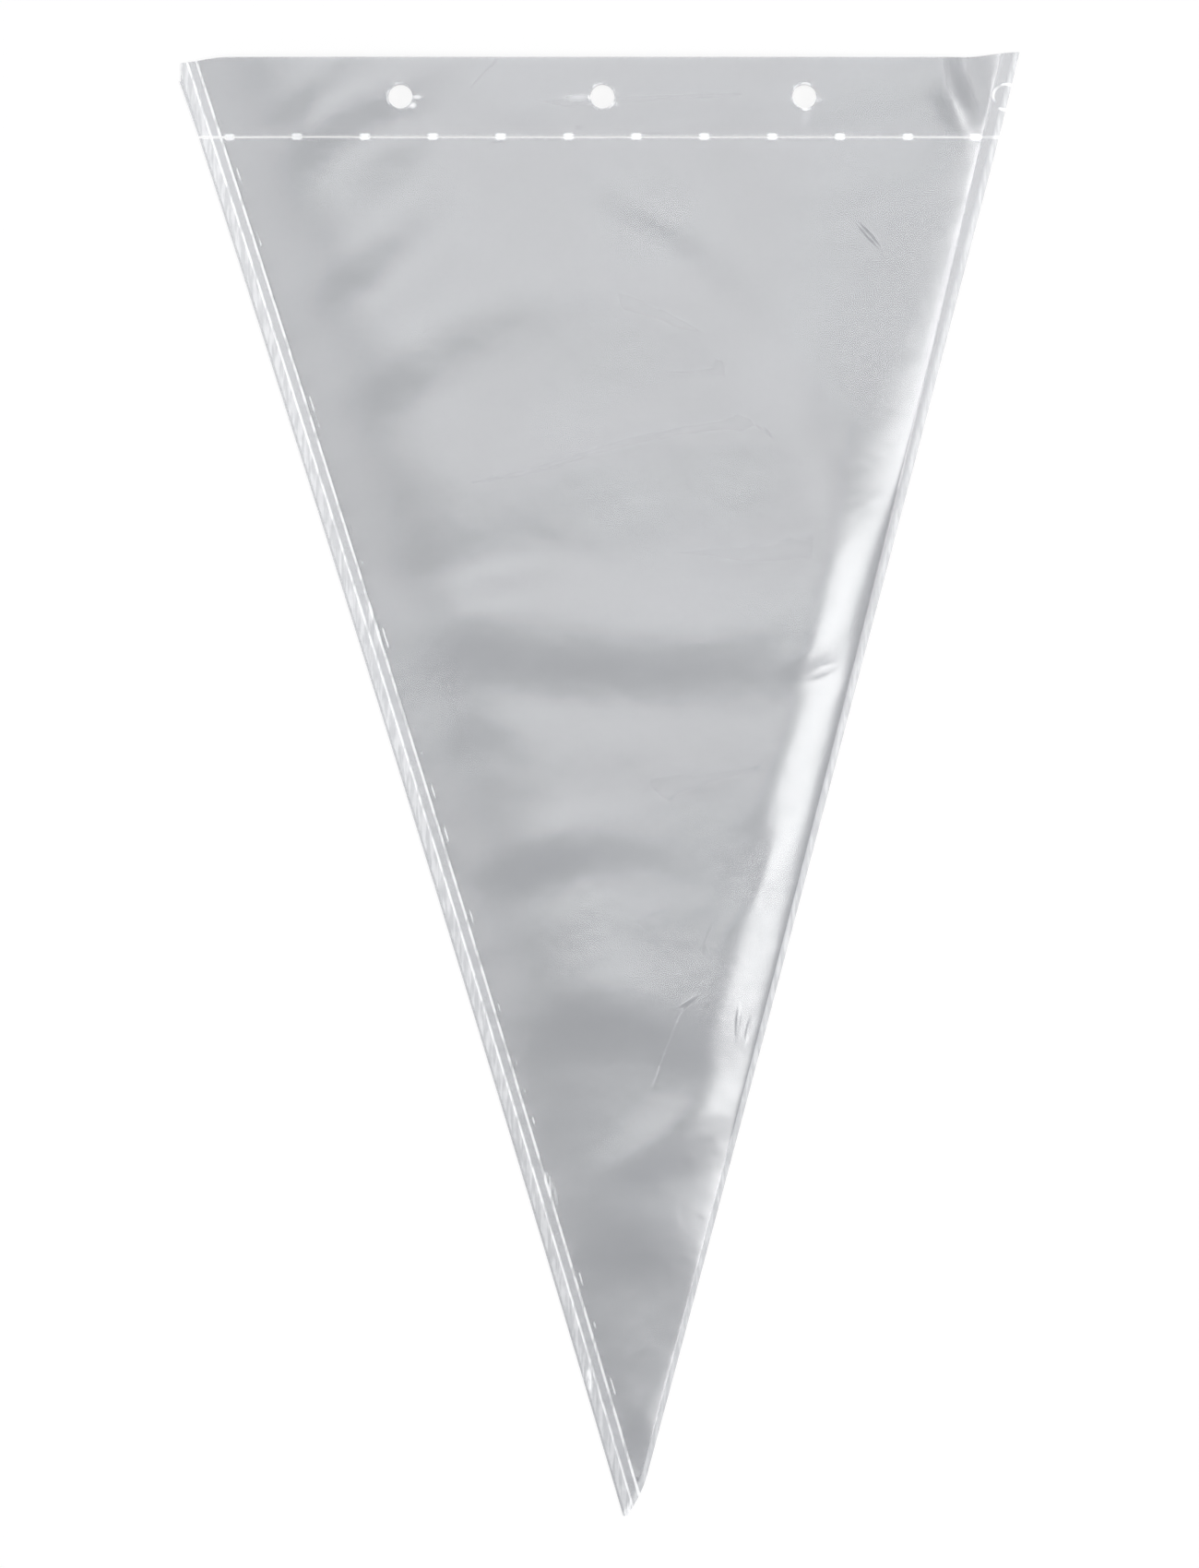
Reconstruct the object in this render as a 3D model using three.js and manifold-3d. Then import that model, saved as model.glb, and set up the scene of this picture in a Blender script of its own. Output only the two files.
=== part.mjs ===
// A disposable piping bag of clear plastic film, lying flat as it comes off its hanging pad.
// It is one piece: two walls of thin film, welded down both sides to a point and open along the
// top. A header with three hanging holes tears off along a line of slits.
// Millimetres. +Y runs from the tip to the header, +X is to the right and +Z is up.
// The rear wall lies on the surface z = 0.

import * as THREE from "three";
import { mergeVertices } from "three/addons/utils/BufferGeometryUtils.js";
import Module from "manifold-3d";

const wasm = await Module();
wasm.setup();

// Outline of the bag, flat
const coneLength = 500; // tear line to tip
const headerDepth = 29; // tear line to the cut edge
const mouthWidth = 307; // between the two side lines at the cut edge
const tipShift = 10.4; // the tip lies this far right of the middle of the mouth
const tipWidth = 1.2; // across the trimmed end
const tipFlare = 4; // the right side line passes this far outside the tip
const tipCurve = 15; // length over which the right side curves in to the tip
const leftBow = 2.1; // the left side is hollow by this much halfway down
const rightBow = 0.7; // the right side is full by this much
const cornerClip = 6.5; // height of the upright trim at the left corner
const cornerLift = 1.9; // the right corner stands this far above the cut edge
const cornerDrop = 2.2; // the left corner stops this far below it
const cornerReach = 20; // width over which each corner leaves the straight edge

// Film and side welds
const filmThickness = 0.08;
const leftWeldLines = [4.3, 7.7]; // from the left side to the middle of each line
const rightWeldAtMouth = 7; // the right side's one band narrows towards the tip
const rightWeldAtTip = 2;
const beadWidth = 1.2; // each weld line is a bead of film that has run together
const beadHeight = 0.1; // above the two fused walls

// How far the front wall stands off the rear wall
const bellyLift = 10; // what a very wide bag would reach
const bellyTaper = 60; // the pocket width at which half of that is left
const mouthLift = 6; // at the cut edge
const mouthReach = 110; // length over which the mouth settles down to that
const flankWidth = 26; // the front wall rises from its welds over this width
const flankFullness = 0.8; // under 1, it rises steeply at the weld and rounds over sooner
const waveLength = 74; // soft waves across the lower bag, from being packed folded
const waveLift = 0.7;
const waveStart = 60; // the waves begin this far below the tear line
const waveSlant = 0.12; // they run down to the left

// Header: hanging holes and the tear line
const holeCount = 3;
const holePitch = 73.2;
const holeDiameter = 8.7;
const holeDrop = 14.4; // centre below the cut edge
const holeShift = 2.2; // the row of holes lies this far right of the middle
const tiePitch = 24.6;
const tieWidth = 2.6; // film left between two slits
const tieShift = 2.2; // the ties' middle lies this far right of the mouth's
const slitWidth = 0.6;

// Fineness of the film's facets
const columns = 16; // across the pocket
const coneRows = 30; // from the start of the pocket to the tear line
const headerRows = 3;
const tipRows = 4;
const holeSides = 32;

const bagLength = coneLength + headerDepth;
const leftWeld = leftWeldLines.at(-1) + beadWidth / 2;
const clearOfFilm = 5; // how far cutting tools run past the film

// Side lines, as x at a height y above the tip. The middle of the mouth is x = 0.
const leftSlope = (mouthWidth / 2 + tipShift - tipWidth / 2) / bagLength;
const rightSlope = (mouthWidth / 2 - tipShift - tipFlare) / bagLength;

// How much of a side's bow is reached at a height: all of it halfway, none at the ends.
function bowShare(y) {
  const along = y / bagLength;
  return 4 * along * (1 - along);
}

function leftEdge(y) {
  return tipShift - tipWidth / 2 - leftSlope * y + leftBow * bowShare(y);
}

// The right side line, drawn in towards the tip along a parabola.
function rightEdge(y) {
  const drawnIn = Math.max(0, 1 - y / tipCurve) ** 2;
  const flare = THREE.MathUtils.lerp(tipFlare, tipWidth / 2, drawnIn);
  return tipShift + flare + rightSlope * y + rightBow * bowShare(y);
}

function rightWeld(y) {
  return THREE.MathUtils.lerp(rightWeldAtTip, rightWeldAtMouth, (y / bagLength) ** 3);
}

function pocketLeft(y) {
  return leftEdge(y) + leftWeld;
}

function pocketRight(y) {
  return rightEdge(y) - rightWeld(y);
}

function pocketWidth(y) {
  return pocketRight(y) - pocketLeft(y);
}

// The height at which the two weld bands part and the pocket begins, found by halving.
function pocketStart() {
  let low = 0;
  let high = bagLength;
  for (let i = 0; i < 40; i++) {
    const middle = (low + high) / 2;
    if (pocketWidth(middle) > tipWidth) high = middle;
    else low = middle;
  }
  return high;
}

// How far the front wall is lifted at (x, y): a crown that rises steeply from the welds, settles
// towards the mouth, and carries soft waves down the cone.
function lift(x, y) {
  const width = pocketWidth(y);
  const inside = Math.min(x - pocketLeft(y), pocketRight(y) - x);
  const flank = Math.min(flankWidth, width / 2);
  const upFlank = THREE.MathUtils.clamp(inside / flank, 0, 1);
  const rise = Math.sin((Math.PI / 2) * upFlank) ** flankFullness;
  const crown = (bellyLift * width) / (width + bellyTaper);
  const atMouth = THREE.MathUtils.smoothstep(y, bagLength - mouthReach, bagLength);
  const belowTearLine = coneLength - y + waveSlant * x;
  const fade = THREE.MathUtils.smoothstep(belowTearLine, waveStart, waveStart + waveLength);
  const wave = waveLift * fade * Math.sin((2 * Math.PI * belowTearLine) / waveLength);
  return rise * Math.max(0, THREE.MathUtils.lerp(crown, mouthLift, atMouth) + wave);
}

// The cut edge leaves its straight line at both corners, up at the right and down at the left.
function cornerOffset(x) {
  const fromRight = THREE.MathUtils.smoothstep(x, mouthWidth / 2 - cornerReach, mouthWidth / 2);
  const fromLeft = THREE.MathUtils.smoothstep(-x, mouthWidth / 2 - cornerReach, mouthWidth / 2);
  return cornerLift * fromRight - cornerDrop * fromLeft;
}

// A point of the bag. The header's rows follow the shape of the cut edge more and more.
function filmPoint(x, y, z) {
  const share = THREE.MathUtils.clamp((y - coneLength) / headerDepth, 0, 1);
  return new THREE.Vector3(x, y + share * cornerOffset(x), z);
}

const pocketBottom = pocketStart();

// Columns crowd towards the welds, where the front wall curves most.
function columnPlaces(y) {
  const places = [];
  for (let i = 0; i <= columns; i++) {
    const across = (1 - Math.cos((Math.PI * i) / columns)) / 2;
    places.push(THREE.MathUtils.lerp(pocketLeft(y), pocketRight(y), across));
  }
  return places;
}

// The welds of both sides, as places and heights above the two fused walls. A line is a low bead.
function leftWeldProfile(y) {
  const profile = [[leftEdge(y), 0]];
  for (const line of leftWeldLines) {
    profile.push([leftEdge(y) + line - beadWidth / 2, 0], [leftEdge(y) + line, beadHeight]);
    profile.push([leftEdge(y) + line + beadWidth / 2, 0]);
  }
  return profile.slice(0, -1);
}

function rightWeldProfile(y) {
  return [[rightEdge(y) - rightWeld(y) / 2, beadHeight], [rightEdge(y), 0]];
}

// The front wall at height y, from left to right, as places and heights above the fused walls.
function frontProfile(y) {
  const pocket = columnPlaces(y).map((x) => [x, lift(x, y)]);
  return [...leftWeldProfile(y), ...pocket, ...rightWeldProfile(y)];
}

// Below the pocket the two walls are fused flat, in as many even columns.
function fusedProfile(y) {
  const last = frontProfile(pocketBottom).length - 1;
  return Array.from({ length: last + 1 }, (_, i) =>
    [THREE.MathUtils.lerp(leftEdge(y), rightEdge(y), i / last), 0]);
}

// Closed outline of the whole bag at height y: the rear wall from left to right, then the front
// wall back again.
function outerSection(y) {
  const profile = y < pocketBottom ? fusedProfile(y) : frontProfile(y);
  const rear = profile.map(([x]) => filmPoint(x, y, 0));
  const front = profile.map(([x, height]) => filmPoint(x, y, 2 * filmThickness + height));
  return [...rear, ...front.reverse()];
}

// Closed outline of the hollow at height y. Its two surfaces meet at the inner weld lines.
function pocketSection(y) {
  const xs = columnPlaces(y);
  const rear = xs.map((x) => filmPoint(x, y, filmThickness));
  const front = xs.slice(1, -1).map((x) => filmPoint(x, y, filmThickness + lift(x, y)));
  return [...rear, ...front.reverse()];
}

// A closed solid through sections with the same number of points, listed from the tip upwards.
// Where the walls meet in one point at each side, they share their corners.
function loft(sections, sharesCorners) {
  const count = sections[0].length;
  const lastRow = (sections.length - 1) * count;
  const faces = [];
  for (let row = 0; row < lastRow; row += count) {
    for (let i = 0; i < count; i++) {
      const a = row + i;
      const b = row + ((i + 1) % count);
      faces.push(a, b + count, b, a, a + count, b + count);
    }
  }
  for (const [a, b, c] of endStrip(count, sharesCorners)) {
    faces.push(a, b, c);
    faces.push(lastRow + a, lastRow + c, lastRow + b);
  }
  const geometry = new THREE.BufferGeometry();
  const positions = sections.flat().flatMap((point) => point.toArray());
  geometry.setAttribute("position", new THREE.Float32BufferAttribute(positions, 3));
  geometry.setIndex(faces);
  return solid(geometry);
}

// Triangles that close one section, as a strip between its rear and its front points.
function endStrip(count, sharesCorners) {
  const faces = [];
  let rear = 0;
  let front = count - 1;
  if (sharesCorners) {
    faces.push([0, 1, front]);
    rear = 1;
  }
  while (front - rear > 1) {
    if (front - rear > 2) faces.push([rear, rear + 1, front - 1]);
    faces.push([rear, front - 1, front]);
    rear += 1;
    front -= 1;
  }
  return faces;
}

// A closed geometry as a solid for cutting, with its shared corners merged.
function solid(geometry) {
  geometry.deleteAttribute("normal");
  geometry.deleteAttribute("uv");
  const merged = mergeVertices(geometry, 1e-4);
  return new wasm.Manifold(
    new wasm.Mesh({
      numProp: 3,
      vertProperties: new Float32Array(merged.attributes.position.array),
      triVerts: new Uint32Array(merged.index.array),
    }),
  );
}

function geometryOf(made) {
  const mesh = made.getMesh();
  const geometry = new THREE.BufferGeometry();
  geometry.setAttribute("position", new THREE.BufferAttribute(mesh.vertProperties, 3));
  geometry.setIndex(new THREE.BufferAttribute(mesh.triVerts, 1));
  geometry.computeVertexNormals();
  return geometry;
}

// Heights of the rows, from the tip up.
function rowHeights() {
  const heights = [];
  for (let i = 0; i < tipRows; i++) {
    heights.push((pocketBottom * i) / tipRows);
  }
  for (let i = 0; i < coneRows; i++) {
    heights.push(THREE.MathUtils.lerp(pocketBottom, coneLength, i / coneRows));
  }
  for (let i = 0; i <= headerRows; i++) {
    heights.push(coneLength + (headerDepth * i) / headerRows);
  }
  return heights;
}

// The film: the whole outline less the hollow, which runs out through the mouth.
function weldedFilm() {
  const rows = rowHeights();
  const hollow = rows.filter((y) => y >= pocketBottom).map(pocketSection);
  const pastMouth = hollow.at(-1).map((point) => point.clone().setY(point.y + clearOfFilm));
  return loft(rows.map(outerSection), false).subtract(loft([...hollow, pastMouth], true));
}

// An upright cutter right through both walls.
function cutter(geometry, x, y) {
  geometry.translate(x, y, 0);
  return solid(geometry);
}

const cutterHeight = 2 * (bellyLift + clearOfFilm);

// One round hole for each pin of the holder.
function hangingHoles() {
  const row = Array.from({ length: holeCount }, (_, i) => i - (holeCount - 1) / 2);
  return row.map((step) => {
    const pin = new THREE.CylinderGeometry(holeDiameter / 2, holeDiameter / 2, cutterHeight, holeSides);
    pin.rotateX(Math.PI / 2);
    return cutter(pin, holeShift + step * holePitch, bagLength - holeDrop);
  });
}

// The slits of the tear line, one between each two ties, and one out through the left side.
function tearSlits() {
  const tieCount = Math.round((rightEdge(coneLength) - leftEdge(coneLength)) / tiePitch);
  const ties = Array.from({ length: tieCount }, (_, i) =>
    tieShift + (i - (tieCount - 1) / 2) * tiePitch);
  const starts = [leftEdge(coneLength) - clearOfFilm, ...ties.map((x) => x + tieWidth / 2)];
  const ends = ties.map((x) => x - tieWidth / 2);
  return ends.map((right, i) => {
    const left = starts[i];
    const blade = new THREE.BoxGeometry(right - left, slitWidth, cutterHeight);
    return cutter(blade, (left + right) / 2, coneLength);
  });
}

// The upright trim that takes the point off the left corner.
function cornerTrim() {
  const width = clearOfFilm + leftSlope * cornerClip;
  const height = cornerClip + cornerDrop + clearOfFilm;
  const trim = new THREE.BoxGeometry(width, height, cutterHeight);
  const inner = leftEdge(bagLength - cornerClip - cornerDrop);
  return cutter(trim, inner - width / 2, bagLength - cornerClip - cornerDrop + height / 2);
}

function pipingBag() {
  let film = weldedFilm();
  for (const tool of [...hangingHoles(), ...tearSlits(), cornerTrim()]) {
    film = film.subtract(tool);
  }
  const clearFilm = new THREE.MeshStandardMaterial({
    color: 0xbcc2c8,
    roughness: 0.22,
    metalness: 0,
    transparent: true,
    opacity: 0.45,
  });
  const bag = new THREE.Mesh(geometryOf(film), clearFilm);
  bag.name = "piping_bag";
  return bag;
}

// The origin is under the middle of the bag's box.
const bag = pipingBag();
bag.geometry.computeBoundingBox();
const middle = bag.geometry.boundingBox.getCenter(new THREE.Vector3());
bag.position.set(-middle.x, -middle.y, 0);

const part = new THREE.Group();
part.add(bag);

export default part;
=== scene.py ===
"""A disposable piping bag of clear film, lying flat under soft studio light. Metres, +Z up."""

import math

import bpy
import numpy as np
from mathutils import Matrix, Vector


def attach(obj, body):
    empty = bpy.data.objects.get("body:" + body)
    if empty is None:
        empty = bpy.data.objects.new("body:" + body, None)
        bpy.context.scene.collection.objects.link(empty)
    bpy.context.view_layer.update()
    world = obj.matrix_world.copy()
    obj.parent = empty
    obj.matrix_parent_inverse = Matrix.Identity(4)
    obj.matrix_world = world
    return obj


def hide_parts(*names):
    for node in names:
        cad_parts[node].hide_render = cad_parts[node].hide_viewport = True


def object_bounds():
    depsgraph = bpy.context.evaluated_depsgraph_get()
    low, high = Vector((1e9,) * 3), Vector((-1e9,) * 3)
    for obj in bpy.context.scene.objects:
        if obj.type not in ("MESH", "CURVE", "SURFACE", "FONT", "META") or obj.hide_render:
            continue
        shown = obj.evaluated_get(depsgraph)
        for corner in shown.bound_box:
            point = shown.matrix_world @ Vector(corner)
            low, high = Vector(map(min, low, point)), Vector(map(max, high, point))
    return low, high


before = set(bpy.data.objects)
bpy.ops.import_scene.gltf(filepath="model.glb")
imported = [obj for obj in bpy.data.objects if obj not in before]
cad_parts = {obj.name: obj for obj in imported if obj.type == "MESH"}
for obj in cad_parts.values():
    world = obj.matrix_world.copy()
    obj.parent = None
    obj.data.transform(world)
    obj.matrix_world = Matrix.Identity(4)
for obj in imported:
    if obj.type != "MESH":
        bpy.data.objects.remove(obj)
cad_low, cad_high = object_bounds()

# The bag's outline. The bag is one piece of clear polyethylene film: two walls, heat-welded to
# each other down both sides and open at the top. Both sides run nearly straight to a tip a
# little right of the middle. The left weld is a broad band, and the right one narrows downwards.

MM = 0.001
CONE_LENGTH = 500 * MM  # tear line to tip
HEADER_DEPTH = 29 * MM
BAG_LENGTH = CONE_LENGTH + HEADER_DEPTH
MOUTH_WIDTH = 307 * MM
TIP_SHIFT = 10.4 * MM  # from the mouth's middle
TIP_WIDTH = 1.2 * MM
TIP_FLARE = 4 * MM  # the right side's line ends this far from the tip
TIP_CURVE = 15 * MM  # and is drawn in to it over this height
LEFT_BOW = 2.1 * MM
RIGHT_BOW = 0.7 * MM
LEFT_WELD = 8.3 * MM
RIGHT_WELD = (2 * MM, 7 * MM)  # at the tip and at the mouth
HALVINGS = 40  # of the bag's length, to find the foot of the pocket

# The CAD box's middle is the origin, so the tip lies half the box's length below it.
TIP_Y = cad_low.y
MOUTH_X = cad_high.x - MOUTH_WIDTH / 2


def bow(y):
    """A parabola: 1 halfway along the bag and 0 at both ends."""
    along = y / BAG_LENGTH
    return 4 * along * (1 - along)


def left_side(y):
    """The left side as x at a height y above the tip: a straight line, hollowed by the bow."""
    slope = (MOUTH_WIDTH / 2 + TIP_SHIFT - TIP_WIDTH / 2) / BAG_LENGTH
    return TIP_SHIFT - TIP_WIDTH / 2 - slope * y + LEFT_BOW * bow(y)


def right_side(y):
    """The right side: a straight line with its bow, drawn in along a parabola near the tip."""
    slope = (MOUTH_WIDTH / 2 - TIP_SHIFT - TIP_FLARE) / BAG_LENGTH
    drawn_in = np.maximum(0, 1 - y / TIP_CURVE) ** 2
    flare = TIP_FLARE * (1 - drawn_in) + TIP_WIDTH / 2 * drawn_in
    return TIP_SHIFT + flare + slope * y + RIGHT_BOW * bow(y)


def right_weld(y):
    """Width of the right weld: it narrows from the mouth as the cube of the height."""
    return RIGHT_WELD[0] + (RIGHT_WELD[1] - RIGHT_WELD[0]) * (y / BAG_LENGTH) ** 3


def pocket_bottom():
    """The height at which the two weld bands part by the tip's width, found by halving."""
    low, high = 0.0, BAG_LENGTH
    for _ in range(HALVINGS):
        middle = (low + high) / 2
        if right_side(middle) - right_weld(middle) - left_side(middle) - LEFT_WELD > TIP_WIDTH:
            high = middle
        else:
            low = middle
    return high


# The front wall. The rear wall lies on the floor, and the front wall stands a few millimetres
# off it, held up by the stiffness of the film itself. It rises from both welds, steeply along
# the middle of the right side, and has soft rolls across it from the way the bag was packed.

BELLY_LIFT = 10 * MM  # of a very wide bag
BELLY_TAPER = 60 * MM  # a pocket of this width gets half of it
TIP_SHARE = 0.5  # of the lift is left near the tip
TIP_REACH = (50 * MM, 150 * MM)
MOUTH_LIFT = 7 * MM
MOUTH_REACH = 110 * MM
LEFT_FLANK = 48 * MM
RIGHT_FLANK = (23 * MM, 90 * MM)  # where it is steep, and elsewhere
STEEP_FROM = (85 * MM, 150 * MM)  # the right flank grows steep between these heights
STEEP_TO = (345 * MM, 450 * MM)  # and gentle again between these
FLANK_LIMIT = 0.8  # of the pocket's width
FLANK_FULLNESS = 0.8  # under 1, the flank bulges more than a sine
ROLL_WANDER = 0.25  # of a half width
ROLL_BENDS = 2.4  # radians of its wander in a half length

# From the header down, each roll has its middle as x from the mouth's middle and y above the tip,
# the way it runs in degrees, its half length, half width and height, with lengths in mm. Of a
# roll with a height below zero, the side towards the header is the low one.
ROLLS = (
    (0, 506, 0, 160, 9, 0.14),
    (134, 517, -72, 16, 4.5, -3.4),
    (-80, 508, 34, 28, 12, 0.75),
    (-112, 510, 30, 18, 9, -0.60),
    (-78, 460, 45, 34, 10, 0.62),
    (-60, 418, 24, 34, 11, 0.42),
    (20, 468, -38, 28, 7, 0.34),
    (88, 492, 8, 30, 8, -0.22),
    (86, 420, 70, 26, 8, 0.22),
    (-30, 392, 8, 60, 14, -0.20),
    (-46, 336, 6, 34, 9, -0.46),
    (0, 308, 3, 62, 13, 0.74),
    (-48, 280, 8, 16, 8, 0.34),
    (80, 309, 40, 10, 5, 0.40),
    (-28, 235, 6, 30, 9, 0.66),
    (60, 236, 60, 14, 5, -0.40),
    (-6, 174, 2, 34, 12.5, 0.85),
    (0, 134, 10, 40, 12, -0.62),
    (16, 94, 12, 36, 12.5, 0.78),
    (14, 33, 8, 20, 9, 0.40),
)


def smoothstep(value, low, high):
    """0 below low, 1 above high, and a smooth S-curve between."""
    t = np.clip((value - low) / (high - low), 0, 1)
    return t * t * (3 - 2 * t)


def roll(x, y, middle_x, middle_y, turn, half_length, half_width, height):
    """A soft roll: across it v times a bell curve of v, which is high on the header's side and
    low on the tip's, and along it a bell curve. It wanders along its length as a sine."""
    along_x, along_y = math.cos(math.radians(turn)), math.sin(math.radians(turn))
    dx, dy = x / MM - middle_x, y / MM - middle_y
    u = (dx * along_x + dy * along_y) / half_length
    v = (dy * along_x - dx * along_y) / half_width
    v = v + ROLL_WANDER * np.sin(ROLL_BENDS * u + middle_y)
    return height * MM * v * np.exp(0.5 - v * v / 2 - u * u / 2)


def front_lift(x, y):
    """Height of the front wall over the rear one: a crown that rises from both welds as a power
    of a sine and passes into an even height at the mouth, with the soft rolls on it."""
    low, high = left_side(y) + LEFT_WELD, right_side(y) - right_weld(y)
    width = high - low
    steep = smoothstep(y, *STEEP_FROM) * (1 - smoothstep(y, *STEEP_TO))
    right_flank = RIGHT_FLANK[1] + (RIGHT_FLANK[0] - RIGHT_FLANK[1]) * steep
    rise = 1
    for inside, flank in ((x - low, LEFT_FLANK), (high - x, right_flank)):
        reach = np.minimum(flank, width * FLANK_LIMIT)
        rise = rise * np.sin(math.pi / 2 * np.clip(inside / reach, 0, 1)) ** FLANK_FULLNESS
    crown = BELLY_LIFT * width / (width + BELLY_TAPER)
    crown = crown * (TIP_SHARE + (1 - TIP_SHARE) * smoothstep(y, *TIP_REACH))
    at_mouth = smoothstep(y, BAG_LENGTH - MOUTH_REACH, BAG_LENGTH)
    rolls = sum(roll(x, y, *each) for each in ROLLS)
    return rise * np.maximum(0, crown * (1 - at_mouth) + MOUTH_LIFT * at_mouth + rolls)


# The film. Both walls are 0.08 mm thick and are made as one closed skin, with the hollow between
# them open along the cut edge of the header. The cut edge dips a little at the left corner and
# rises at the right one.

FILM = 0.08 * MM
CORNER_LIFT = 1.9 * MM
CORNER_DROP = 2.2 * MM
CORNER_REACH = 20 * MM
ROWS = 190
TIP_ROWS = 6
POCKET_COLUMNS = 96
WELD_COLUMNS = 8
JUST_ABOVE = 1.0001  # times the pocket's bottom, where the walls still touch


def film_grid():
    """x, y and lift over a grid of rows from the tip and columns from the left. The first columns
    cross the left weld, the last ones the right weld, and those of the pocket crowd towards the
    welds as a cosine. Rows below the pocket are fused and have no lift."""
    bottom = pocket_bottom()
    tip = bottom * np.arange(TIP_ROWS) / TIP_ROWS
    cone = bottom + (BAG_LENGTH - bottom) * np.linspace(0, 1, ROWS - TIP_ROWS)
    y = np.concatenate([tip, cone])[:, None]
    left, right = left_side(y), right_side(y)
    squeeze = np.minimum(1, (right - left) / (right_side(bottom) - left_side(bottom)))
    inner_left = left + LEFT_WELD * squeeze
    inner_right = right - right_weld(y) * squeeze
    band = np.linspace(0, 1, WELD_COLUMNS + 1)
    across = (1 - np.cos(math.pi * np.linspace(0, 1, POCKET_COLUMNS + 1))) / 2
    x = np.hstack([
        left + (inner_left - left) * band[:-1],
        inner_left + (inner_right - inner_left) * across,
        inner_right + (right - inner_right) * band[1:],
    ])
    y = np.broadcast_to(y, x.shape)
    lift = np.where(y > bottom * JUST_ABOVE, front_lift(x, y), 0)
    lift[:, :WELD_COLUMNS + 1] = 0
    lift[:, WELD_COLUMNS + POCKET_COLUMNS:] = 0
    edge_rise = CORNER_LIFT * smoothstep(x, MOUTH_WIDTH / 2 - CORNER_REACH, MOUTH_WIDTH / 2)
    edge_fall = CORNER_DROP * smoothstep(-x, MOUTH_WIDTH / 2 - CORNER_REACH, MOUTH_WIDTH / 2)
    header_share = np.clip((y - CONE_LENGTH) / HEADER_DEPTH, 0, 1)
    return x, y + header_share * (edge_rise - edge_fall), lift


def quads(sheet):
    """Faces between neighbouring rows and columns of a grid of point numbers, facing up."""
    corners = (sheet[:-1, :-1], sheet[:-1, 1:], sheet[1:, 1:], sheet[1:, :-1])
    return np.stack([c.ravel() for c in corners], axis=1)


def strip(below, above):
    """Faces between two rows of point numbers, turned like a grid's."""
    return quads(np.stack([below, above]))


def film_mesh(name):
    """The closed film: rear outside, rear inside, front inside and front outside as four sheets
    over one grid. The inner two share their points where the walls are fused, and strips of
    faces close the tip, both sides and the cut edge."""
    x, y, lift = film_grid()
    shape = x.shape
    heights = [np.zeros(shape), np.full(shape, FILM), FILM + lift, 2 * FILM + lift]
    points = np.concatenate([np.stack([x, y, z], axis=2).reshape(-1, 3) for z in heights])
    points += (MOUTH_X, TIP_Y, 0)
    count = x.size
    number = np.arange(count).reshape(shape)
    rear, rear_in, front_in, front = (number + i * count for i in range(len(heights)))
    first, last = WELD_COLUMNS, WELD_COLUMNS + POCKET_COLUMNS
    pocket = slice(first, last + 1)
    front_in = front_in.copy()
    front_in[:, first] = rear_in[:, first]
    front_in[:, last] = rear_in[:, last]
    front_in[TIP_ROWS] = rear_in[TIP_ROWS]
    hollow = (slice(TIP_ROWS, None), pocket)
    faces = [
        quads(rear)[:, ::-1],
        quads(front),
        quads(rear_in[hollow]),
        quads(front_in[hollow])[:, ::-1],
        strip(rear[0], front[0]),
        strip(rear[:, -1], front[:, -1]),
        strip(front[:, 0], rear[:, 0]),
        strip(rear_in[-1, pocket], rear[-1, pocket]),
        strip(front[-1, pocket], front_in[-1, pocket]),
        strip(front[-1, :first], rear[-1, :first]),
        strip(front[-1, last + 1:], rear[-1, last + 1:]),
    ]
    joints = []
    for weld, inner in ((first - 1, first), (last + 1, last)):
        middle = rear_in[-1, inner]
        fan = [
            (rear[-1, weld], rear[-1, inner], middle),
            (rear[-1, weld], middle, front[-1, inner]),
            (rear[-1, weld], front[-1, inner], front[-1, weld]),
        ]
        joints += [f[::-1] if weld < inner else f for f in fan]
    mesh = bpy.data.meshes.new(name)
    mesh.from_pydata(points.tolist(), [], np.concatenate(faces).tolist() + joints)
    return mesh


film = bpy.data.objects.new("clear_film_bag", film_mesh("clear_film_bag"))
bpy.context.scene.collection.objects.link(film)

# The header. Three holes hang the bag on its holder, and a tear line of slits between twelve
# ties lets it be pulled off. They, and the trimmed left corner, are punched through both walls
# at once.

HOLE_COUNT = 3
HOLE_PITCH = 73.2 * MM
HOLE_RADIUS = 8.7 * MM / 2
HOLE_SIDES = 72
HOLE_DROP = 14.4 * MM  # from the cut edge
TIE_COUNT = 12
TIE_PITCH = 24.6 * MM
TIE_WIDTH = 2.6 * MM
SLIT_WIDTH = 0.6 * MM
PATTERN_SHIFT = 2.2 * MM  # holes and ties lie right of the mouth's middle
CORNER_CLIP = 6.5 * MM
PUNCH_REACH = 20 * MM  # past the film on every side

TEAR_Y = TIP_Y + CONE_LENGTH
HOLE_Y = TIP_Y + BAG_LENGTH - HOLE_DROP
PATTERN_X = MOUTH_X + PATTERN_SHIFT


def row_of(count, pitch):
    """Evenly spaced places along x about the middle of the header's pattern."""
    return PATTERN_X + (np.arange(count) - (count - 1) / 2) * pitch


def round_outline(x, y, radius):
    """A circle about (x, y)."""
    turn = 2 * math.pi * np.arange(HOLE_SIDES) / HOLE_SIDES
    return np.column_stack([x + radius * np.cos(turn), y + radius * np.sin(turn)])


def box_outline(x_low, x_high, y_low, y_high):
    """A rectangle, from its low corner and anticlockwise."""
    return [(x_low, y_low), (x_high, y_low), (x_high, y_high), (x_low, y_high)]


def prism(outline):
    """A closed upright prism over an outline that runs anticlockwise, right through the film."""
    outline = np.asarray(outline, float)
    count = len(outline)
    ends = [np.column_stack([outline, np.full(count, z)]) for z in (-PUNCH_REACH, PUNCH_REACH)]
    turn = [(i, (i + 1) % count) for i in range(count)]
    sides = [(a, b, b + count, a + count) for a, b in turn]
    return np.vstack(ends), [list(range(count))[::-1], list(range(count, 2 * count)), *sides]


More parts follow.
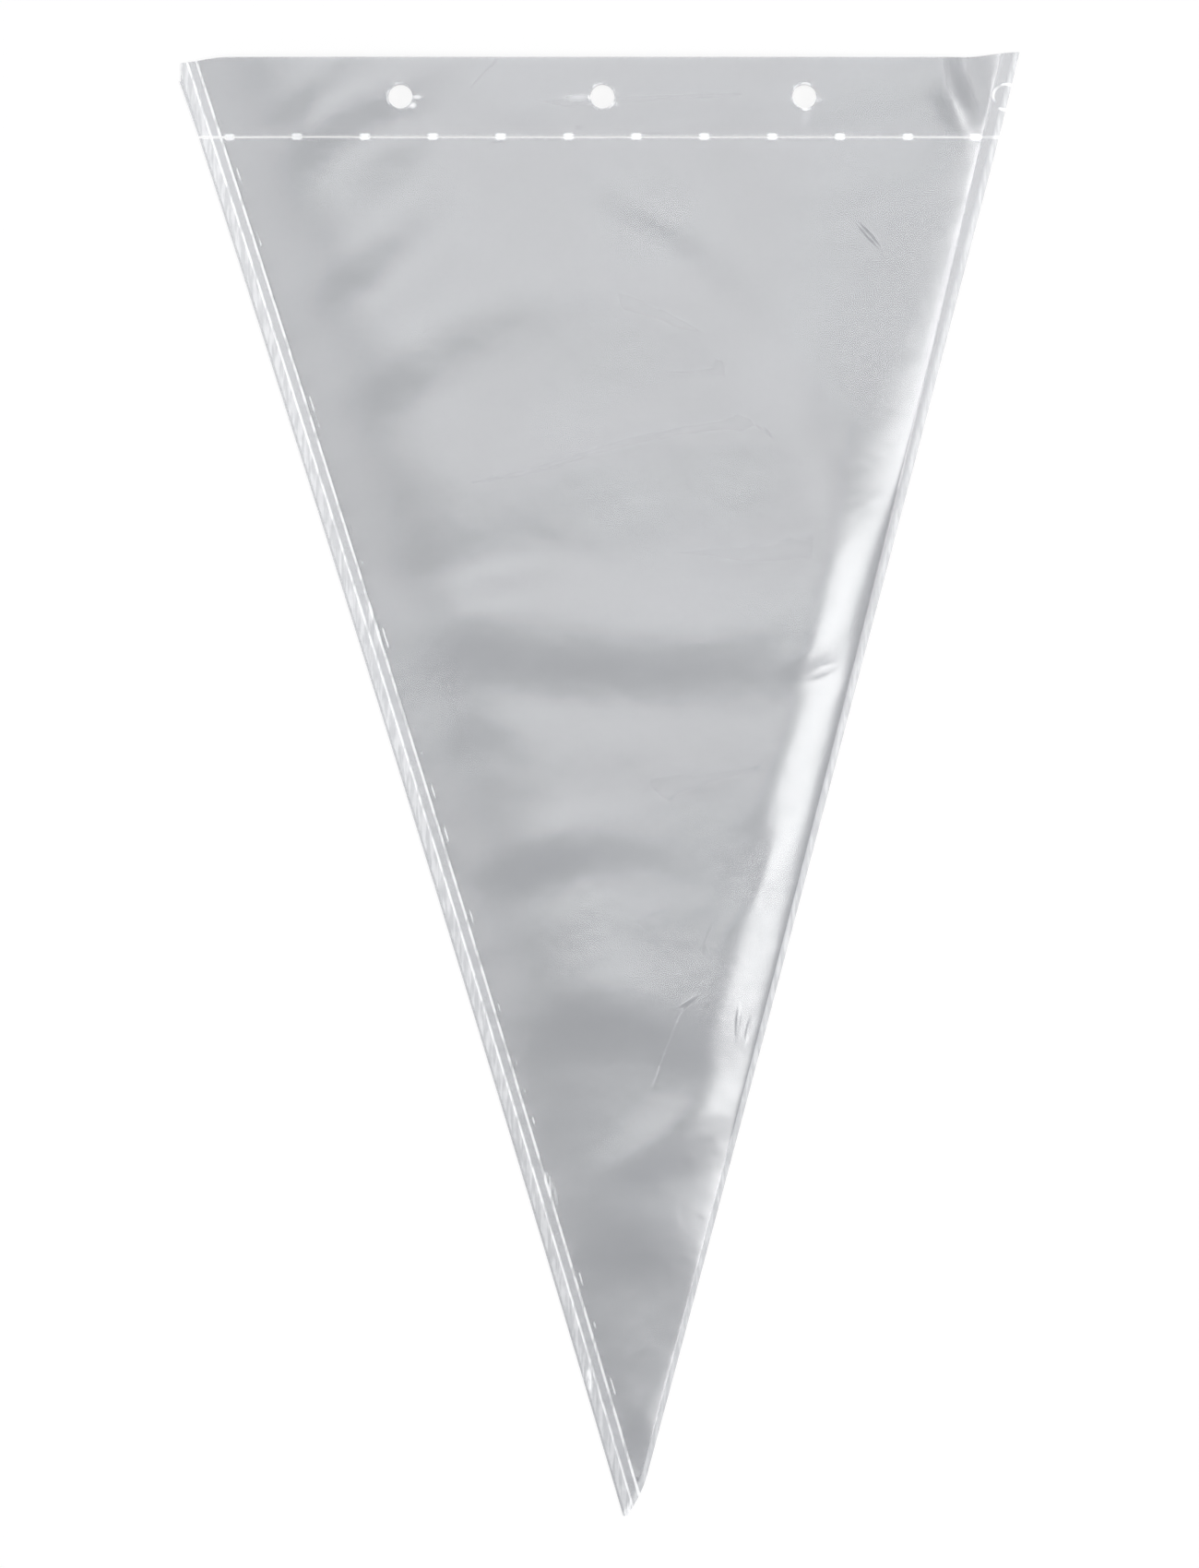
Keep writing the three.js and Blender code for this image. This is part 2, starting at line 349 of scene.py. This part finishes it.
def side_by_side(solids):
    """Several closed shapes, each as points and faces, as one mesh of loose bodies."""
    starts = np.cumsum([0] + [len(points) for points, _ in solids])
    points = np.concatenate([points for points, _ in solids])
    faces = [[i + start for i in face] for (_, fs), start in zip(solids, starts) for face in fs]
    return points, faces


holes = row_of(HOLE_COUNT, HOLE_PITCH)
ties = row_of(TIE_COUNT, TIE_PITCH)
slit_starts = np.concatenate([[cad_low.x - PUNCH_REACH], ties[:-1] + TIE_WIDTH / 2])
slit_ends = ties - TIE_WIDTH / 2
slit_low, slit_high = TEAR_Y - SLIT_WIDTH / 2, TEAR_Y + SLIT_WIDTH / 2
clip_y = BAG_LENGTH - CORNER_CLIP - CORNER_DROP
clip_x = MOUTH_X + left_side(clip_y)
corner = box_outline(clip_x - PUNCH_REACH, clip_x, TIP_Y + clip_y, cad_high.y + PUNCH_REACH)

outlines = [round_outline(x, HOLE_Y, HOLE_RADIUS) for x in holes]
outlines += [box_outline(a, b, slit_low, slit_high) for a, b in zip(slit_starts, slit_ends)]
outlines += [corner]
punch_points, punch_faces = side_by_side([prism(outline) for outline in outlines])
punch_mesh = bpy.data.meshes.new("punch")
punch_mesh.from_pydata(punch_points.tolist(), [], punch_faces)
punch = bpy.data.objects.new("punch", punch_mesh)
bpy.context.scene.collection.objects.link(punch)

punching = film.modifiers.new("punch", "BOOLEAN")
punching.operation = "DIFFERENCE"
punching.solver = "MANIFOLD"
punching.object = punch
bpy.context.view_layer.update()
evaluated = film.evaluated_get(bpy.context.evaluated_depsgraph_get())
punched = bpy.data.meshes.new_from_object(evaluated)
film.modifiers.clear()
film.data = punched
bpy.data.objects.remove(punch)

# The film's surface: smooth and glossy walls with sharp rims. Two attributes give each point's
# distance in millimetres from the left and the right side, square to that side, and a third is 1
# where the walls are fused. The marks below follow them.

SHARP_ANGLE = 50
SLACK = 0.01 * MM  # so that points on the edge of a weld count as fused

punched.polygons.foreach_set("use_smooth", np.ones(len(punched.polygons), bool))
punched.set_sharp_from_angle(angle=math.radians(SHARP_ANGLE))
place = np.empty(len(punched.vertices) * 3)
punched.vertices.foreach_get("co", place)
place = place.reshape(-1, 3)
above_tip = place[:, 1] - TIP_Y
from_middle = place[:, 0] - MOUTH_X
left_lean = math.atan((MOUTH_WIDTH / 2 + TIP_SHIFT) / BAG_LENGTH)
right_lean = math.atan((MOUTH_WIDTH / 2 - TIP_SHIFT) / BAG_LENGTH)
surface_values = {
    "from_left_mm": (from_middle - left_side(above_tip)) * math.cos(left_lean) / MM,
    "from_right_mm": (right_side(above_tip) - from_middle) * math.cos(right_lean) / MM,
    "fused": ((from_middle < left_side(above_tip) + LEFT_WELD + SLACK)
              | (from_middle > right_side(above_tip) - right_weld(above_tip) - SLACK)
              | (above_tip < pocket_bottom() + SLACK)),
}
for name, values in surface_values.items():
    attribute = punched.attributes.new(name, "FLOAT", "POINT")
    attribute.data.foreach_set("value", values.astype(np.float32))


def put(tree, kind, inputs=(), **settings):
    """A shader node with its settings, and its inputs given as sockets to link or as values."""
    node = tree.nodes.new("ShaderNode" + kind)
    for name, value in settings.items():
        setattr(node, name, value)
    for name, value in dict(inputs).items():
        if isinstance(value, bpy.types.NodeSocket):
            tree.links.new(value, node.inputs[name])
        else:
            node.inputs[name].default_value = value
    return node


clear_film = bpy.data.materials.new("clear_film")
clear_film.use_nodes = True
film_tree = clear_film.node_tree
shader = film_tree.nodes["Principled BSDF"]
shader.inputs["Roughness"].default_value = 0.28
shader.inputs["IOR"].default_value = 2.0
shader.inputs["Specular IOR Level"].default_value = 0.8

position = put(film_tree, "TexCoord").outputs["Object"]
separated = put(film_tree, "SeparateXYZ", {"Vector": position})
x_place, y_place = separated.outputs["X"], separated.outputs["Y"]
from_left_mm = put(film_tree, "Attribute", attribute_name="from_left_mm").outputs["Fac"]
from_right_mm = put(film_tree, "Attribute", attribute_name="from_right_mm").outputs["Fac"]
fused = put(film_tree, "Attribute", attribute_name="fused").outputs["Fac"]

# The left weld, in mm from the side. The sealing bar pressed a whitened band along it with a thin
# line on its inner edge, a second line near the pocket, and here and there a third one beyond it.
# Noise drawn out along the side breaks them into streaks and dashes.

CLEAR_EDGE = (0.5, 1.0)  # the film is clear up to the first, and the band full from the second
OUTER_BAND_END = (4.6, 4.0)  # clear from the first on, and full up to the second
OUTER_BAND_WHITE = (0.22, 0.52)  # between the streaks, and in them
OUTER_LINE = (4.3, 0.6)  # its middle and half width
OUTER_LINE_WHITE = (0.3, 0.7)  # between the dashes, and in them
INNER_LINE = (7.6, 0.75)
INNER_LINE_WHITE = (0.5, 0.95)
THIRD_LINE = (9.6, 0.45)
LINE_CORE = 0.3  # of a line's half width is fully white


def maths(tree, operation, *values):
    """The result of a Math node."""
    return put(tree, "Math", enumerate(values), operation=operation).outputs[0]


def fade(tree, value, start, end):
    """0 at start, 1 at end, and a smooth S-curve between."""
    inputs = {"Value": value, "From Min": start, "From Max": end}
    return put(tree, "MapRange", inputs, interpolation_type="SMOOTHSTEP").outputs[0]


def cloud(scale, detail, along=1):
    """Soft noise from 0 to 1 with features of about 1/scale metres, drawn out along Y when along
    is below 1."""
    spread = put(film_tree, "Mapping", {"Vector": position, "Scale": (1, along, 1)})
    inputs = {"Vector": spread.outputs[0], "Scale": scale, "Detail": detail}
    return put(film_tree, "TexNoise", inputs).outputs["Fac"]


def line(value, middle, half):
    """1 where a value is at the middle of a line, and 0 beyond its half width."""
    away = maths(film_tree, "ABSOLUTE", maths(film_tree, "SUBTRACT", value, middle))
    return fade(film_tree, away, half, half * LINE_CORE)


def between(mask, low, high):
    """low where a mask is 0, and high where it is 1."""
    return maths(film_tree, "MULTIPLY_ADD", mask, high - low, low)


def product(*values):
    """Several masks multiplied."""
    result = values[0]
    for value in values[1:]:
        result = maths(film_tree, "MULTIPLY", result, value)
    return result


def total(*values):
    """Several masks added."""
    result = values[0]
    for value in values[1:]:
        result = maths(film_tree, "ADD", result, value)
    return result


def patches(scale, detail, start, end, along=1):
    """Patches of noise: 0 where the cloud is below start, and 1 where it is above end."""
    return fade(film_tree, cloud(scale, detail, along), start, end)


streaks = patches(scale=700, detail=3, start=0.40, end=0.62, along=0.12)
dashes = patches(scale=420, detail=2, start=0.36, end=0.52, along=0.25)
traces = patches(scale=160, detail=2, start=0.56, end=0.66, along=0.5)
outer_band = product(fade(film_tree, from_left_mm, *OUTER_BAND_END),
                     fade(film_tree, from_left_mm, *CLEAR_EDGE),
                     between(streaks, *OUTER_BAND_WHITE))
left_lines = total(
    product(line(from_left_mm, *OUTER_LINE), between(dashes, *OUTER_LINE_WHITE)),
    product(line(from_left_mm, *INNER_LINE), between(dashes, *INNER_LINE_WHITE)),
    product(line(from_left_mm, *THIRD_LINE), traces),
)

# The right weld: a white outer strip that runs the whole length, and a paler band inside it that
# is seen near the mouth only. The same sealing bar pressed and streaked the strip. Both are in
# mm from the side.

RIGHT_STRIP_END = (3.0, 1.2)  # clear from the first on, and full up to the second
RIGHT_STRIP_WHITE = (0.34, 0.54)  # between the streaks, and in them
RIGHT_BAND = (6.4, 1.1)  # its middle and half width
RIGHT_BAND_WHITE = 0.16
RIGHT_BAND_FOOT = (0.09, 0.20)  # along Y it starts at the first and is full from the second

right_strip = product(fade(film_tree, from_right_mm, *RIGHT_STRIP_END),
                      between(streaks, *RIGHT_STRIP_WHITE))
right_band = product(line(from_right_mm, *RIGHT_BAND),
                     fade(film_tree, y_place, *RIGHT_BAND_FOOT), RIGHT_BAND_WHITE)

# Around the header: a painted highlight on the stretched film of the ties between the slits, and
# film that the punches whitened along the slits and in crescents on the rims of the three holes.

TIE_HIGHLIGHT_SIZE = (2.6 * MM, 1.7 * MM)  # half its length along the tear line, and half its height
TIE_HIGHLIGHT_WHITE = 1.3
SLIT_RIM = 0.9 * MM
SLIT_WHITE = 0.35
HOLE_RIM = (HOLE_RADIUS + 0.3 * MM, 0.8 * MM)  # its middle and half width
HOLE_WHITE = 0.7


def from_nearest(value, first, pitch):
    """How far a value is from the nearest of a row of places: its remainder by the pitch, counted
    from half a pitch before the first, less half a pitch."""
    past = maths(film_tree, "SUBTRACT", value, float(first - pitch / 2))
    remainder = maths(film_tree, "MODULO", past, pitch)
    return maths(film_tree, "SUBTRACT", remainder, pitch / 2)


tie_x = from_nearest(x_place, ties[0], TIE_PITCH)
hole_x = from_nearest(x_place, holes[0], HOLE_PITCH)
from_tear = maths(film_tree, "SUBTRACT", y_place, TEAR_Y)
hole_y = maths(film_tree, "SUBTRACT", y_place, HOLE_Y)
from_hole = maths(film_tree, "SQRT", total(product(hole_x, hole_x), product(hole_y, hole_y)))
crescents = patches(scale=180, detail=1, start=0.42, end=0.60)
# The tie spots are a painted highlight: white where the stretched film of each tie catches the
# light.
tie_highlights = product(line(tie_x, 0.0, TIE_HIGHLIGHT_SIZE[0]), line(from_tear, 0.0, TIE_HIGHLIGHT_SIZE[1]), TIE_HIGHLIGHT_WHITE)
slit_rims = product(line(from_tear, 0.0, SLIT_RIM), SLIT_WHITE)
hole_rims = product(line(from_hole, *HOLE_RIM), crescents, HOLE_WHITE)

# Stretched and folded film: stress marks at the holes, puckered places on the left weld, and
# small creases in the front wall. Each is an oval with its middle as x from the mouth's middle
# and y above the tip, its turn in degrees, half length and half width in mm, and its strength.

STRESS_MARKS = (
    (-65.0, 514.3, 0, 3.2, 1.3, 0.75),
    (-66.4, 511.3, 40, 2.0, 1.8, 0.9),
    (-72.0, 505.0, 90, 8.0, 2.2, 0.12),
    (-6.5, 514.2, 0, 9.5, 2.0, 0.38),
    (6.8, 511.8, -35, 4.0, 1.6, 0.28),
    (76.0, 507.5, 80, 7.5, 3.0, 0.25),
    (81.0, 513.2, -10, 3.5, 1.4, 0.28),
)
PUCKERS = (
    (-80.6, 323.0, -72, 13.0, 4.5, 0.55),
    (-16.5, 119.0, -72, 11.0, 2.6, 0.75),
    (-2.6, 49.5, -72, 6.0, 3.2, 0.85),
)
CREASES = (
    (98.5, 464.5, -48, 9.0, 1.3, 0.5),
    (25.5, 168.0, 69, 22.0, 1.2, 0.45),
    (51.5, 180.0, 84, 8.0, 1.4, 0.6),
    (55.0, 176.0, 80, 6.0, 1.2, -0.5),
    (33.5, 187.0, 35, 4.5, 1.5, 0.6),
    (82.0, 306.0, 25, 7.0, 2.2, 0.3),
)
OVAL_CORE = 0.15  # of its half length and half width is at full strength


def smudge(x, y, turn, half_length, half_width, strength):
    """A soft oval: its strength times a fade over the distance from its middle, which is 1 at
    the oval's edge."""
    oval = put(film_tree, "Mapping", {
        "Vector": position,
        "Location": (MOUTH_X + x * MM, TIP_Y + y * MM, 0),
        "Rotation": (0, 0, math.radians(turn)),
        "Scale": (half_length * MM, half_width * MM, 1),
    }, vector_type="TEXTURE")
    reach = put(film_tree, "VectorMath", {0: oval.outputs[0]}, operation="LENGTH")
    return product(fade(film_tree, reach.outputs["Value"], 1.0, OVAL_CORE), strength)


stress = total(*(smudge(*mark) for mark in STRESS_MARKS))
puckers = product(streaks, total(*(smudge(*mark) for mark in PUCKERS)))
creases = total(*(smudge(*mark) for mark in CREASES))

# The film's look: a faint blue-grey haze, clearest in the pocket, denser where the walls are
# fused, and white where the film is marked. The haze lies in lighter and darker patches, which
# are partly the film's own cloudiness and partly a painted reflection of soft light and dark
# bands. At the ties the white is a painted highlight. The creases and the slight unevenness of
# thin film are too fine for the mesh and are relief.

FILM_GREY = (0.158, 0.172, 0.204, 1)
HAZE_AND_REFLECTION_GREY = (0.196, 0.212, 0.248, 1)
WHITENED_AND_HIGHLIGHT = (0.90, 0.91, 0.93, 1)
POCKET_OPACITY = 0.31
FUSED_OPACITY = 0.18  # more than in the pocket
MARKED_AND_HIGHLIGHT_OPACITY = 0.36  # more again
FINE_RIPPLES = 0.22  # of the height of the others
RELIEF = 0.25 * MM

# Lighter patches of haze: partly the film's own cloudiness, partly painted reflection bands.
haze_and_reflection_bands = patches(scale=14, detail=4, start=0.35, end=0.65)
# The white marks are whitened film, plus the painted highlights at the ties.
marks_and_highlights = total(outer_band, left_lines, right_strip, right_band,
              tie_highlights, slit_rims, hole_rims, stress, puckers)
marks_and_highlights = maths(film_tree, "MINIMUM", marks_and_highlights, 1.0)
film_grey_with_reflection_bands = put(film_tree, "Mix", {"Factor": haze_and_reflection_bands, "A": FILM_GREY, "B": HAZE_AND_REFLECTION_GREY},
                data_type="RGBA")
film_colour = put(film_tree, "Mix",
                  {"Factor": marks_and_highlights, "A": film_grey_with_reflection_bands.outputs["Result"], "B": WHITENED_AND_HIGHLIGHT},
                  data_type="RGBA")
film_tree.links.new(film_colour.outputs["Result"], shader.inputs["Base Color"])
unmarked = maths(film_tree, "MULTIPLY_ADD", fused, FUSED_OPACITY, POCKET_OPACITY)
opacity = maths(film_tree, "MULTIPLY_ADD", marks_and_highlights, MARKED_AND_HIGHLIGHT_OPACITY, unmarked)
film_tree.links.new(opacity, shader.inputs["Alpha"])

ripples = cloud(scale=55, detail=2)
fine_ripples = product(cloud(scale=190, detail=1), FINE_RIPPLES)
unevenness = total(ripples, fine_ripples, creases)
relief = put(film_tree, "Bump", {"Strength": 1.0, "Distance": RELIEF, "Height": unevenness})
film_tree.links.new(relief.outputs[0], shader.inputs["Normal"])
film.data.materials.clear()
film.data.materials.append(clear_film)
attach(film, "root")
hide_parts("piping_bag")

# The floor: matt white paper under the bag, which keeps the bag's soft shadow. It lies half a
# millimetre below the film, so that the two don't touch, and shows as plain white to the camera,
# in reflections and through the film.

FLOOR_Z = -0.5 * MM
FLOOR_HALF = 3.0
WHITE = (1, 1, 1, 1)
PAPER = (0.96, 0.96, 0.96, 1)
PAPER_GLOW = 0.8  # of what those rays see is plain white

floor_mesh = bpy.data.meshes.new("floor")
floor_mesh.from_pydata(
    [(x, y, FLOOR_Z) for x, y in box_outline(-FLOOR_HALF, FLOOR_HALF, -FLOOR_HALF, FLOOR_HALF)],
    [], [(0, 1, 2, 3)])
floor = bpy.data.objects.new("floor", floor_mesh)
bpy.context.scene.collection.objects.link(floor)


def seen_directly(tree, glossy_share=1.0):
    """1 for rays from the camera or through the film, and a share for reflected ones."""
    path = put(tree, "LightPath")
    seen = maths(tree, "MULTIPLY", path.outputs["Is Glossy Ray"], glossy_share)
    seen = maths(tree, "MAXIMUM", seen, path.outputs["Is Camera Ray"])
    return maths(tree, "MAXIMUM", seen, path.outputs["Is Transmission Ray"])


white_floor = bpy.data.materials.new("white_floor")
white_floor.use_nodes = True
floor_tree = white_floor.node_tree
floor_tree.nodes.remove(floor_tree.nodes["Principled BSDF"])
paper = put(floor_tree, "BsdfDiffuse", {"Color": PAPER})
glow = put(floor_tree, "Emission", {"Color": WHITE, "Strength": 1.0})
share = maths(floor_tree, "MULTIPLY", seen_directly(floor_tree), PAPER_GLOW)
glowing_paper = put(floor_tree, "MixShader", {0: share, 1: paper.outputs[0], 2: glow.outputs[0]})
floor_tree.links.new(glowing_paper.outputs[0], floor_tree.nodes["Material Output"].inputs[0])
floor_mesh.materials.append(white_floor)

# The room: plain white and dimly lit. The camera sees it at full white, and so do reflections of
# its walls. In those of its ceiling it stays dim, so that the film keeps its grey.

ROOM_LEVEL = 0.35
WALLS_FADE = (0.78, 0.30)  # upward part of the heading: dim above, white below

world = bpy.data.worlds.new("white_room")
world.use_nodes = True
room_tree = world.node_tree
room = room_tree.nodes["Background"]
room.inputs["Color"].default_value = WHITE
room.inputs["Strength"].default_value = ROOM_LEVEL
backdrop = put(room_tree, "Background", {"Color": WHITE, "Strength": 1.0})
generated = put(room_tree, "TexCoord").outputs["Generated"]
heading = put(room_tree, "SeparateXYZ", {"Vector": generated})
low_walls = fade(room_tree, heading.outputs["Z"], *WALLS_FADE)
seen = seen_directly(room_tree, low_walls)
mixed = put(room_tree, "MixShader", {0: seen, 1: room.outputs[0], 2: backdrop.outputs[0]})
room_tree.links.new(mixed.outputs[0], room_tree.nodes["World Output"].inputs[0])
bpy.context.scene.world = world

# The lamps: a soft panel overhead towards the header, a strong softbox on the right that draws
# the bright streak down the right flank, and a weak one that fills in from the left.


def softbox(name, place, aim, width, height, radiance):
    """A rectangular lamp turned to a point. Its power is radiance times area times pi."""
    lamp = bpy.data.lights.new(name, "AREA")
    lamp.shape = "RECTANGLE"
    lamp.size = width
    lamp.size_y = height
    lamp.energy = radiance * width * height * math.pi
    holder = bpy.data.objects.new(name, lamp)
    toward = Vector(aim) - Vector(place)
    holder.rotation_euler = toward.to_track_quat("-Z", "Y").to_euler()
    holder.location = place
    bpy.context.scene.collection.objects.link(holder)


softbox("overhead_panel", place=(0, 0.6, 5.0), aim=(0, 0.6, 0), width=3.4, height=1.5,
        radiance=3.9)
softbox("right_softbox", place=(3.3, -0.65, 4.0), aim=(0, -0.1, 0), width=1.2, height=3.2,
        radiance=12.0)
softbox("left_fill", place=(-3.3, -0.3, 4.0), aim=(0, 0, 0), width=1.6, height=3.2,
        radiance=3.0)

# The camera hangs straight above the bag, far enough off to show it almost without perspective.

CAMERA_HEIGHT = 6.0
VIEW_LENGTH = 568.7 * MM
SENSOR_WIDTH = 36
VIEW_LIMIT = 20

camera_data = bpy.data.cameras.new("overhead_camera")
camera_data.sensor_width = SENSOR_WIDTH
camera_data.lens = SENSOR_WIDTH * CAMERA_HEIGHT / VIEW_LENGTH
camera_data.clip_end = VIEW_LIMIT
camera = bpy.data.objects.new("overhead_camera", camera_data)
camera.location = (0, 0, CAMERA_HEIGHT)
bpy.context.scene.collection.objects.link(camera)
bpy.context.scene.camera = camera
bpy.context.scene.view_settings.view_transform = "Standard"
